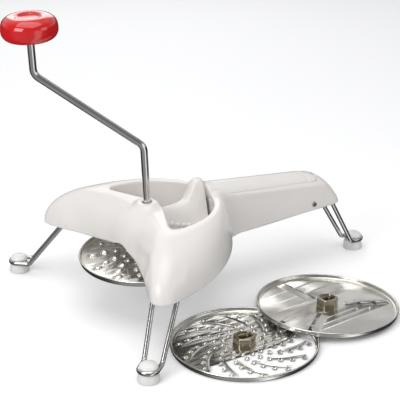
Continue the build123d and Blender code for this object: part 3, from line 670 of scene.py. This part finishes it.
def bodyField(x, y, z):
    side = np.abs(y)
    look = shellLook
    moulding = smoothMin(domeField(x, side, z), handleField(x, side, z), look["handleBlend"])
    swellX, swellY, swellZ = look["swell"]
    swell = np.exp(-((x - swellX) ** 2 + (side - swellY) ** 2 + (z - swellZ) ** 2) / 130.0)
    moulding = moulding - 1.7 * swell
    axis = np.hypot(x, side)
    flare = np.interp(look["bossTop"] - z, look["bossDrop"], look["bossFlare"])
    cone = (axis - look["bossRadius"] - flare) / 1.18
    boss = smoothMax(cone, z - look["bossTop"], 1.6)
    outer = smoothMin(moulding, boss, look["bossBlend"])
    shell = smoothMax(outer, -(moulding + look["wall"]), 0.6)
    opening = hopperPlan(x, side)
    channel = channelField(x, side, z)
    hopperWall = np.maximum(opening - look["wall"], 3.4 - z)
    column = np.maximum(axis - look["bossRadius"], 11.3 - z)
    skin = np.maximum(channel - look["wall"], 8.0 - z)
    ears, across, pivotRing = earField(x, side, z)
    inner = smoothMin(smoothMin(hopperWall, column, 1.5), np.minimum(skin, ears), 1.0)
    solid = smoothMin(shell, smoothMax(inner, outer, 0.5), 1.0)
    arch = (9.6 / (1 + (side / 19.0) ** 2) - 0.5) * easeStep((-8.0 - x) / 10.0)
    floorZ = look["rimLevel"] + np.maximum(arch, 0.0) - 4.0 * easeStep((x - 74.0) / 8.0) * (side < 27.0)
    floorZ = np.where(opening < look["wall"] + 0.2, 3.4, floorZ)
    solid = smoothMax(solid, floorZ - z, 1.0)
    solid = smoothMax(solid, -opening, 2.2)
    solid = smoothMax(solid, -channel, 0.9)
    hubRoom = np.maximum(axis - look["hubRoom"], z - 11.3)
    bore = np.maximum(axis - look["bore"], 38.0 - z)
    bushSeat = np.maximum(axis - look["bushSeat"], z - 39.3)
    solid = np.maximum(np.maximum(solid, -hubRoom), np.maximum(-bore, -bushSeat))
    rearRing = np.hypot(x - look["rearHole"][0], z - look["rearHole"][1])
    rearHole = np.maximum(rearRing - look["wireHole"] - 0.6 * easeStep(side - 20.2), side - 30.0)
    frontHole = np.maximum(np.maximum(pivotRing - look["wireHole"], across - 20.4), moulding + 1.2)
    return np.maximum(solid, np.maximum(-rearHole, -frontHole))


bodyShell = meshFromField("bodyShell", bodyField, (-66, -124, 2), (226, 124, 64), shellLook["step"], bodyPlace)
finishPiece(bodyShell, "body", "white_body", materials["whiteShell"], "main_body")

# pusher lever with its plunger

pusherLook = {
    "gap": 3.2, "base": 6.0, "wall": 2.4, "ridgeLevel": 46.0,
    "ridge": [(-12, 45.5), (18, 45.8), (28, 45.8), (35, 46.6), (41, 49.0), (45.5, 53.6), (48.5, 59.6),
              (51.5, 64.6), (55, 67.0), (59, 66.8), (62, 64.2), (65, 60.8), (70, 59.3), (80, 57.8)],
    "flank": [(0, 46.0), (4, 44.6), (9, 38.0), (15, 28.8), (22, 21.4), (32, 15.6), (45, 11.6), (64.5, 10.0)],
    "noseFade": (5.0, 19.0), "leverHalf": 14.65, "ribPitch": 14.0, "ribHalf": 1.0, "step": 1.0,
}


ridgeAt, ridgeLevels = softCurve(pusherLook["ridge"])
flankAt, flankLevels = softCurve(pusherLook["flank"])


def saddleTop(x, side):
    level = np.interp(side, flankAt, flankLevels)
    start, end = pusherLook["noseFade"]
    rise = np.interp(x, ridgeAt, ridgeLevels) - pusherLook["ridgeLevel"]
    fade = 1 - easeStep((side - start) / (end - start))
    return level + rise * fade


def leverField(x, y, z):
    side = np.abs(y)
    look = pusherLook
    plan = hopperPlan(x, side) + look["gap"]
    top = saddleTop(x, side)
    slope = (saddleTop(x, side + 0.4) - saddleTop(x, np.maximum(side - 0.4, 0))) / 0.8
    slopeX = (saddleTop(x + 0.4, side) - saddleTop(x - 0.4, side)) / 0.8
    lean = np.sqrt(1 + slope ** 2 + slopeX ** 2)
    above = (z - top) / lean
    saddle = smoothMax(np.maximum(above, look["base"] - z), plan, 1.4)
    hollow = np.maximum(np.maximum(above + look["wall"], plan + look["wall"]), 4.0 - z)
    ribPlace = np.abs((y + 63.0) % look["ribPitch"] - look["ribPitch"] / 2)
    ribs = np.maximum(np.maximum(ribPlace - look["ribHalf"], above + 1.0),
                      np.maximum(plan + 1.0, np.abs(z - 10.5) - 4.5))
    shell = smoothMin(np.maximum(saddle, -hollow), ribs, 0.5)
    # neck between the saddle and the arm
    neck = np.maximum(np.maximum(side - 5.4, 44.0 - z), np.maximum(x - 72.0, 44.0 - x))
    neck = smoothMax(neck, above, 2.0)
    hingeX, hingeZ = shellLook["hinge"]
    floorZ = crownLine(x) - shellLook["channelDepth"] + shellLook["gap"]
    ring = np.hypot(x - hingeX, z - hingeZ)
    low = math.radians(20.0)
    wedge = -((z - hingeZ) * math.cos(low) - (x - hingeX) * math.sin(low))
    tail = np.maximum(np.maximum(ring - tailLimit(side), wedge), hingeX - x)
    arm = np.maximum(np.maximum(floorZ - z, 64.0 - x), x - hingeX)
    arm = np.minimum(np.minimum(arm, tail), ring - 7.0)
    arm = smoothMax(arm, side - look["leverHalf"], 0.7)
    arm = smoothMax(arm, handleField(x, side, z), 0.9)
    lever = smoothMin(smoothMin(shell, neck, 3.0), arm, 2.0)
    return lever


leverPiece = meshFromField("pusherLever", leverField, (-12, -64, 5), (198, 64, 68), pusherLook["step"],
                           bodyPlace)
finishPiece(leverPiece, "pusher", "white_lever", materials["whiteLever"], "pusher_lever")

# small round grips along the saddle's flanks
ribLook = {"count": 4, "pitch": 5.6, "radius": 2.9, "start": 19.5, "side": 12.9, "drift": 0.2}


def roundRibs(name, sign):
    work = bmesh.new()
    for i in range(ribLook["count"]):
        ahead = ribLook["start"] + i * ribLook["pitch"]
        across = ribLook["side"] + ribLook["drift"] * i * ribLook["pitch"]
        level = float(saddleTop(np.array(ahead), np.array(across)))
        made = bmesh.ops.create_uvsphere(work, u_segments=20, v_segments=12, radius=ribLook["radius"])
        for vert in made["verts"]:
            vert.co += Vector((ahead, sign * across, level - 0.9))
    mesh = bpy.data.meshes.new(name)
    work.to_mesh(mesh)
    work.free()
    verts = [tuple(v.co) for v in mesh.vertices]
    faces = [tuple(p.vertices) for p in mesh.polygons]
    return addMesh(name, verts, faces, bodyPlace)


for name, sign in (("gripRibsLeft", 1), ("gripRibsRight", -1)):
    finishPiece(roundRibs(name, sign), "pusher", "white_lever", materials["whiteLever"])
print("mouldings ready")


# turned pieces

def lathe(profile, segments):
    # revolve (radius, height) points round z
    verts, faces = [], []
    count = len(profile)
    for i in range(segments):
        turn = 2 * math.pi * i / segments
        verts += [(r * math.cos(turn), r * math.sin(turn), z) for r, z in profile]
        a, b = i * count, ((i + 1) % segments) * count
        for j in range(count):
            k = (j + 1) % count
            faces.append((a + j, b + j, b + k, a + k))
    return verts, faces


def turned(name, profile, place, segments):
    return softEdges(addMesh(name, *lathe(profile, segments), place), 40.0)


def smoothProfile(points, rounds=2):
    # corner cutting, ends kept
    for _ in range(rounds):
        cut = [points[0]]
        for (ax, ay), (bx, by) in zip(points, points[1:]):
            cut += [(0.75 * ax + 0.25 * bx, 0.75 * ay + 0.25 * by),
                    (0.25 * ax + 0.75 * bx, 0.25 * ay + 0.75 * by)]
        cut.append(points[-1])
        points = cut
    return points


knobPlace = jointFrame("knob_spin")
knobLook = {"seat": [(3.56, 0.3), (8.2, 0.2)], "dimple": [(10.0, 21.9), (10.0, 20.8), (3.56, 20.8)],
            "crown": [(8.2, 0.2), (15.0, 0.4), (22.5, 2.0), (26.3, 6.8), (26.9, 12.2), (25.8, 18.6),
                      (21.5, 22.9), (16.5, 24.1), (12.5, 23.6), (10.1, 22.4)],
            "capTop": [(0.001, 20.9), (4.0, 21.0), (8.0, 21.5), (9.9, 22.2)],
            "capUnder": [(9.9, 20.9), (0.001, 20.7)]}
knobProfile = knobLook["seat"] + smoothProfile(knobLook["crown"], 3) + knobLook["dimple"]
knobPiece = turned("knobGrip", knobProfile, knobPlace, 128)
finishPiece(knobPiece, "knob", "red_knob", materials["redKnob"], "crank_knob")
capProfile = smoothProfile(knobLook["capTop"]) + knobLook["capUnder"]
capPiece = turned("knobCap", capProfile, knobPlace, 96)
finishPiece(capPiece, "knob", "red_knob", materials["redCap"], "knob_cap")

footLook = {"base": [(8.8, 0.0), (9.8, 0.1), (10.0, 1.0)], "flank": [(9.85, 5.0), (9.55, 7.6)],
            "lip": [(9.5, 8.0), (9.4, 8.9), (8.6, 9.1)],
            "groove": [(6.5, 9.15), (6.25, 9.4), (6.25, 13.5), (6.5, 13.85)],
            "cap": [(8.3, 13.8), (8.9, 13.9), (8.75, 14.7), (7.9, 16.6), (5.6, 18.0), (2.6, 18.5)]}
footProfile = ([(0.001, 0.0)] + smoothProfile(footLook["base"]) + footLook["flank"]
               + smoothProfile(footLook["lip"]) + footLook["groove"] + smoothProfile(footLook["cap"])
               + [(0.001, 18.5)])
for side in ("left", "right", "rear"):
    low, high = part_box(side + "_foot")
    place = Matrix.Translation(((low.x + high.x) / 2, (low.y + high.y) / 2, low.z))
    foot = turned(side + "FootButton", footProfile, place, 72)
    finishPiece(foot, side + "_leg", "white_foot", materials["whiteFoot"], side + "_foot")
print("turned pieces ready")

# discs

discLook = {"radius": 70.0, "plate": 0.8, "edge": 0.12, "rimHeight": 4.5, "rimDrop": 1.0, "restGap": 0.2,
            "flatRadius": 66.6, "hubFlats": 19.0, "hubRoom": 0.1, "indexHole": 2.5, "indexAt": 61.0}
coarseLook = {"rows": 12, "count": 4, "first": 24.0, "pitch": 11.0, "turn": 9.0, "tooth": 4.5, "rise": 2.4}
fineLook = {"rows": 14, "count": 6, "first": 20.0, "pitch": 8.0, "turn": 9.0, "tooth": 2.4, "rise": 1.7,
            "slotFrom": 33.0, "slotTo": 59.0, "slotWidth": 2.2}
sliceLook = {"middle": 41.0, "length": 46.0, "angles": (30, 150, 270), "rise": 2.0}


def spot(radius, angle):
    turn = math.radians(angle)
    return (radius * math.cos(turn), radius * math.sin(turn))


def ringLoop(x, y, radius, count):
    return [(x + radius * math.cos(2 * math.pi * i / count), y + radius * math.sin(2 * math.pi * i / count))
            for i in range(count)]


def plateMesh(name, holes, outer):
    # flat sheet with holes, its edges slightly rolled, from a filled curve
    curve = bpy.data.curves.new(name, "CURVE")
    curve.dimensions = "2D"
    curve.fill_mode = "BOTH"
    curve.extrude = discLook["plate"] / 2 - discLook["edge"]
    curve.bevel_depth = discLook["edge"]
    curve.bevel_resolution = 1
    curve.offset = -discLook["edge"]
    for loop in [outer] + holes:
        spline = curve.splines.new("POLY")
        spline.points.add(len(loop) - 1)
        for point, (x, y) in zip(spline.points, loop):
            point.co = (x, y, 0, 1)
        spline.use_cyclic_u = True
    piece = bpy.data.objects.new(name, curve)
    bpy.context.scene.collection.objects.link(piece)
    bpy.context.view_layer.update()
    mesh = bpy.data.meshes.new_from_object(piece.evaluated_get(bpy.context.evaluated_depsgraph_get()))
    verts = [(v.co.x, v.co.y, v.co.z + discLook["plate"] / 2) for v in mesh.vertices]
    faces = [tuple(p.vertices) for p in mesh.polygons]
    bpy.data.objects.remove(piece)
    bpy.data.curves.remove(curve)
    bpy.data.meshes.remove(mesh)
    return verts, faces


def joinParts(name, parts, place, angle=35.0):
    verts, faces = [], []
    for partVerts, partFaces in parts:
        base = len(verts)
        verts += list(partVerts)
        faces += [tuple(i + base for i in face) for face in partFaces]
    return softEdges(addMesh(name, verts, faces, place), angle)


def rimParts():
    profile = smoothProfile([(66.0, 0.8), (67.3, 0.85), (68.0, 1.5), (68.25, 2.6)], 2)
    profile += [(69.05 + 0.9 * math.cos(a), 3.6 + 0.9 * math.sin(a))
                for a in np.radians([185, 150, 120, 90, 60, 30, 0, -30])]
    profile += smoothProfile([(69.35, 2.4), (69.2, 0.6), (68.7, -0.7), (67.6, -1.0),
                              (66.9, -0.7), (66.0, 0.0)], 2)
    return lathe(profile, 160)


def hoodPart(x, y, facing, radius, rise, thickness=0.35):
    # one punched tooth: a lip that stands over the rear half of its hole
    around, up = 13, 6
    spinCos, spinSin = math.cos(math.radians(facing)), math.sin(math.radians(facing))
    verts, faces = [], []
    for layer in (0, 1):
        for i in range(around):
            angle = math.radians(-105 + 210 * i / (around - 1))
            tall = max(math.cos(angle * 90 / 112), 0.0) ** 0.75
            for j in range(up):
                share = j / (up - 1)
                reach = radius * (1.22 + (0.62 - 1.22) * share)
                level = 0.8 + rise * tall * (1 - (1 - share) ** 1.7) - layer * thickness * (0.3 + 0.7 * share)
                u, v = reach * math.cos(angle), reach * math.sin(angle)
                verts.append((x + u * spinCos - v * spinSin, y + u * spinSin + v * spinCos, level))
    size = around * up
    for i in range(around - 1):
        for j in range(up - 1):
            a = i * up + j
            faces.append((a, a + up, a + up + 1, a + 1))
            faces.append((size + a, size + a + 1, size + a + up + 1, size + a + up))
    for i in range(around - 1):
        a = i * up
        faces.append((a + up, a, size + a, size + a + up))
        b = a + up - 1
        faces.append((b, b + up, size + b + up, size + b))
    for j in range(up - 1):
        faces.append((j, j + 1, size + j + 1, size + j))
        a = (around - 1) * up + j
        faces.append((a + 1, a, size + a, size + a + 1))
    return verts, faces


def sweepFaces(rows, n):
    # faces of a closed section of n points swept through its rows, with both ends filled
    faces = [(i * n + j, (i + 1) * n + j, (i + 1) * n + (j + 1) % n, i * n + (j + 1) % n)
             for i in range(rows - 1) for j in range(n)]
    return faces + [tuple(range(n)), tuple((rows - 1) * n + j for j in reversed(range(n)))]


def ridgePart(points, width, height, level=0.75):
    # low rounded ridge pressed along a line
    across = [(-0.5, 0.0), (-0.34, 0.6), (0.0, 1.0), (0.34, 0.6), (0.5, 0.0)]
    verts = []
    count = len(points)
    for i, (x, y) in enumerate(points):
        ax, ay = points[max(i - 1, 0)]
        bx, by = points[min(i + 1, count - 1)]
        run = math.hypot(bx - ax, by - ay)
        nx, ny = -(by - ay) / run, (bx - ax) / run
        fade = math.sin(math.pi * min(max(i / (count - 1), 0.0), 1.0)) ** 0.4 if 0 < i < count - 1 else 0.05
        for off, up in across:
            verts.append((x + nx * off * width * max(fade, 0.3), y + ny * off * width * max(fade, 0.3),
                          level + height * up * fade))
        verts.append((x, y, level - 0.1))
    return verts, sweepFaces(count, len(across) + 1)


def spiralLine(fromRadius, toRadius, start, turnPerMm, count=14):
    return [spot(fromRadius + (toRadius - fromRadius) * i / (count - 1),
                 start + turnPerMm * (toRadius - fromRadius) * i / (count - 1)) for i in range(count)]


def slotLoop(line, width):
    left, right = [], []
    for i, (x, y) in enumerate(line):
        ax, ay = line[max(i - 1, 0)]
        bx, by = line[min(i + 1, len(line) - 1)]
        run = math.hypot(bx - ax, by - ay)
        nx, ny = -(by - ay) / run, (bx - ax) / run
        half = width / 2 * math.sin(math.pi * (0.12 + 0.76 * i / (len(line) - 1))) ** 0.5
        left.append((x + nx * half, y + ny * half))
        right.append((x - nx * half, y - ny * half))
    return left + right[::-1]


def bladePart(angle, look):
    # a raised cutting strip beside its slot, with three openings left by its bridges
    half = look["length"] / 2
    rows = []
    for t in np.linspace(-half, half, 25):
        end = 1.0 - (abs(t) / half) ** 8
        rows.append([(t, 7.5, 0.78), (t, 5.6, 0.85 + 0.2 * end), (t, 3.2, 0.85 + 0.55 * look["rise"] * end),
                     (t, 0.6, 0.85 + look["rise"] * end), (t, 0.5, 0.55 + look["rise"] * end),
                     (t, 3.3, 0.4 + 0.5 * look["rise"] * end), (t, 5.8, 0.35), (t, 7.5, 0.35)])
    turn = math.radians(angle)
    verts = []
    for row in rows:
        for t, across, level in row:
            r = look["middle"] + t
            verts.append((r * math.cos(turn) - across * math.sin(turn),
                          r * math.sin(turn) + across * math.cos(turn), level))
    return verts, sweepFaces(len(rows), len(rows[0]))


def placedLoop(loop, angle):
    c, s = math.cos(math.radians(angle)), math.sin(math.radians(angle))
    return [(x * c - y * s, x * s + y * c) for x, y in loop]


def roundRect(x0, x1, y0, y1, corner=1.2):
    loop = []
    for cx, cy, start in ((x1 - corner, y1 - corner, 0), (x0 + corner, y1 - corner, 90),
                          (x0 + corner, y0 + corner, 180), (x1 - corner, y0 + corner, 270)):
        loop += [(cx + corner * math.cos(math.radians(start + a)),
                  cy + corner * math.sin(math.radians(start + a)))
                 for a in (0, 30, 60, 90)]
    return loop


outline = ringLoop(0, 0, discLook["flatRadius"], 160)
hubCorner = (discLook["hubFlats"] + discLook["hubRoom"]) / math.sqrt(3)
hubHole = [spot(hubCorner, 30 + 60 * i) for i in range(6)]
indexLoop = ringLoop(discLook["indexAt"], 0, discLook["indexHole"], 24)


def gratingDisc(name, look, place, slots):
    holes = [hubHole, indexLoop]
    parts = [rimParts()]
    for row in range(look["rows"]):
        for step in range(look["count"]):
            radius = look["first"] + step * look["pitch"]
            angle = 360 * row / look["rows"] + look["turn"] * step
            x, y = spot(radius, angle)
            if math.hypot(x - discLook["indexAt"], y) < look["tooth"] * 1.5 + discLook["indexHole"]:
                continue
            holes.append(ringLoop(x, y, look["tooth"] * 0.72, 16))
            parts.append(hoodPart(x, y, angle + 90, look["tooth"], look["rise"]))
        if slots:
            middle = 360 * (row + 0.5) / look["rows"] + 24.0
            rate = look["turn"] / look["pitch"]
            line = spiralLine(look["slotFrom"], look["slotTo"], middle - rate * 13, rate)
            if row % 2:
                parts.append(ridgePart(line, 3.0, 0.9))
            else:
                holes.append(slotLoop(line, look["slotWidth"]))
                offX, offY = spot(1.7, middle - 90)
                lip = [(x + offX, y + offY) for x, y in line]
                parts.append(ridgePart(lip, 1.8, 1.1))
        else:
            line = spiralLine(30.0, 62.0, 360 * (row + 0.5) / look["rows"] + 5.0, look["turn"] / look["pitch"])
            parts.append(ridgePart(line, 1.1, 0.35))
    parts.append(plateMesh(name + "Sheet", holes, outline))
    return joinParts(name, parts, place)


def slicingDisc(name, look, place):
    holes = [hubHole, indexLoop]
    parts = [rimParts()]
    for angle in look["angles"]:
        for i in (-1, 0, 1):
            x = look["middle"] + i * 15.6
            holes.append(placedLoop(roundRect(x - 6.6, x + 6.6, -4.0, 3.6), angle))
        parts.append(bladePart(angle, look))
        for i in (-1, 0, 1):
            x, y = spot(look["middle"] + i * 13.0, angle)
            offX, offY = spot(9.5, angle - 90)
            parts.append(hoodPart(x + offX, y + offY, angle - 90, 1.0, 0.6))
    parts.append(plateMesh(name + "Sheet", holes, outline))
    return joinParts(name, parts, place)


def hubPiece(name, place):
    # pressed hexagonal cup: flange, walls with soft corners, a sunk top with the crank's slot
    levels = [(0.60, 9.5), (0.0, 9.0), (0.0, 1.2), (0.35, 0.5), (1.3, 0.05), (2.0, 0.0), (2.3, 0.5), (2.6, 1.6)]
    corners = 8              # points round each softened corner
    verts, faces, rings = [], [], []
    for inset, drop in levels:
        flats = discLook["hubFlats"] / 2 - inset
        ring = []
        for i in range(6):
            mid = math.pi / 3 * i
            nextMid = math.pi / 3 * (i + 1)
            corner = 2.4
            across = flats / math.cos(math.pi / 6)
            tip = spot(across - corner / math.cos(math.pi / 6), math.degrees(mid + nextMid) / 2)
            for k in range(corners):
                a = mid + (nextMid - mid) * k / (corners - 1)
                ring.append((tip[0] + corner * math.cos(a), tip[1] + corner * math.sin(a), 9.8 - drop))
        rings.append(ring)
    slot = roundRect(-6.6, 6.6, -3.6, 3.6, 1.4)
    n = len(rings[0])
    for ring in rings:
        verts += ring
    for r in range(len(rings) - 1):
        for i in range(n):
            j = (i + 1) % n
            faces.append((r * n + i, r * n + j, (r + 1) * n + j, (r + 1) * n + i))
    base = (len(rings) - 1) * n
    slotStart = len(verts)
    m = len(slot)
    verts += [(x, y, 8.2) for x, y in slot]
    verts += [(x, y, 4.0) for x, y in slot]
    for i in range(m):
        j = (i + 1) % m
        faces.append((slotStart + i, slotStart + j, slotStart + m + j, slotStart + m + i))
    # bridge the last ring to the slot by matching angles
    outerAngles = [math.atan2(verts[base + i][1], verts[base + i][0]) % (2 * math.pi) for i in range(n)]
    slotAngles = [math.atan2(y, x) % (2 * math.pi) for x, y in slot]
    outerOrder = sorted(range(n), key=lambda i: outerAngles[i])
    slotOrder = sorted(range(m), key=lambda i: slotAngles[i])
    a, b = 0, 0
    while a < n or b < m:
        angleA = outerAngles[outerOrder[a % n]] + (2 * math.pi if a >= n else 0)
        angleB = slotAngles[slotOrder[b % m]] + (2 * math.pi if b >= m else 0)
        here, there = base + outerOrder[a % n], slotStart + slotOrder[b % m]
        if b >= m or (a < n and angleA <= angleB):
            faces.append((here, base + outerOrder[(a + 1) % n], there))
            a += 1
        else:
            faces.append((here, slotStart + slotOrder[(b + 1) % m], there))
            b += 1
    piece = softEdges(addMesh(name, verts, faces, place), 50.0)
    thicken = piece.modifiers.new("wall", "SOLIDIFY")
    thicken.thickness = 0.9 * mm
    thicken.offset = -1.0
    applyAll(piece)
    return piece


def restFrame(node):
    # disc frame on the table: centre of its box, plate's underside at the rim's drop
    low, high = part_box(node)
    return Matrix.Translation(((low.x + high.x) / 2, (low.y + high.y) / 2, low.z + discLook["rimDrop"] * mm))


# the slicing disc leans on the other one's rim
shredPlace = restFrame("shredding_disc")
slow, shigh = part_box("slicing_disc")
sliceCentre = Vector(((slow.x + shigh.x) / 2, (slow.y + shigh.y) / 2, 0))
shredCentre = shredPlace.translation.copy()
ahead = sliceCentre - shredCentre
ahead.z = 0
apart = ahead.length / mm
ahead.normalize()
rise = discLook["rimHeight"] + discLook["rimDrop"] + discLook["restGap"]
riseAngle = math.asin(rise / (discLook["radius"] + apart / 2))
lowPoint = sliceCentre + ahead * discLook["radius"] * math.cos(riseAngle) * mm
lowPoint.z = 0.0
sliceX = Vector((-ahead.x * math.cos(riseAngle), -ahead.y * math.cos(riseAngle), math.sin(riseAngle)))
sliceZ = Vector((ahead.x * math.sin(riseAngle), ahead.y * math.sin(riseAngle), math.cos(riseAngle)))
slicePlace = Matrix((sliceX, sliceZ.cross(sliceX), sliceZ)).transposed().to_4x4()
slicePlace.translation = lowPoint + sliceX * discLook["radius"] * mm + sliceZ * discLook["rimDrop"] * mm

sheet = materials["polishedSheet"]
finishPiece(gratingDisc("coarseDisc", coarseLook, bodyPlace, False), "crank", "disc_steel", sheet,
            "fitted_disc")
finishPiece(gratingDisc("shredDisc", fineLook, shredPlace, True), "spare_shredding_disc", "disc_steel", sheet,
            "shredding_disc")
finishPiece(slicingDisc("sliceDisc", sliceLook, slicePlace), "spare_slicing_disc", "disc_steel", sheet,
            "slicing_disc")
for name, place, body, node in (("coarseHub", bodyPlace, "crank", "fitted_disc_hub"),
                                ("shredHub", shredPlace, "spare_shredding_disc", "shredding_disc_hub"),
                                ("sliceHub", slicePlace, "spare_slicing_disc", "slicing_disc_hub")):
    finishPiece(hubPiece(name, place), body, "hub_steel", materials["platedHub"], node)
print("discs ready")

# nodes that keep the shape of their solids

carried = {
    "crank_rod": "chromeRod", "left_leg_wire": "chromeWire", "right_leg_wire": "chromeWire",
    "rear_leg_wire": "chromeWire", "crank_cross_pin": "plainPin", "crank_stop_ring": "plainPin",
    "knob_retaining_washer": "plainPin", "pusher_hinge_pin": "plainPin", "crank_bush": "naturalNylon",
}
for node, finish in carried.items():
    mesh = frame["nodes"][node].data
    mesh.materials.clear()
    mesh.materials.append(materials[finish])
print("carried-over nodes dressed:", len(carried))
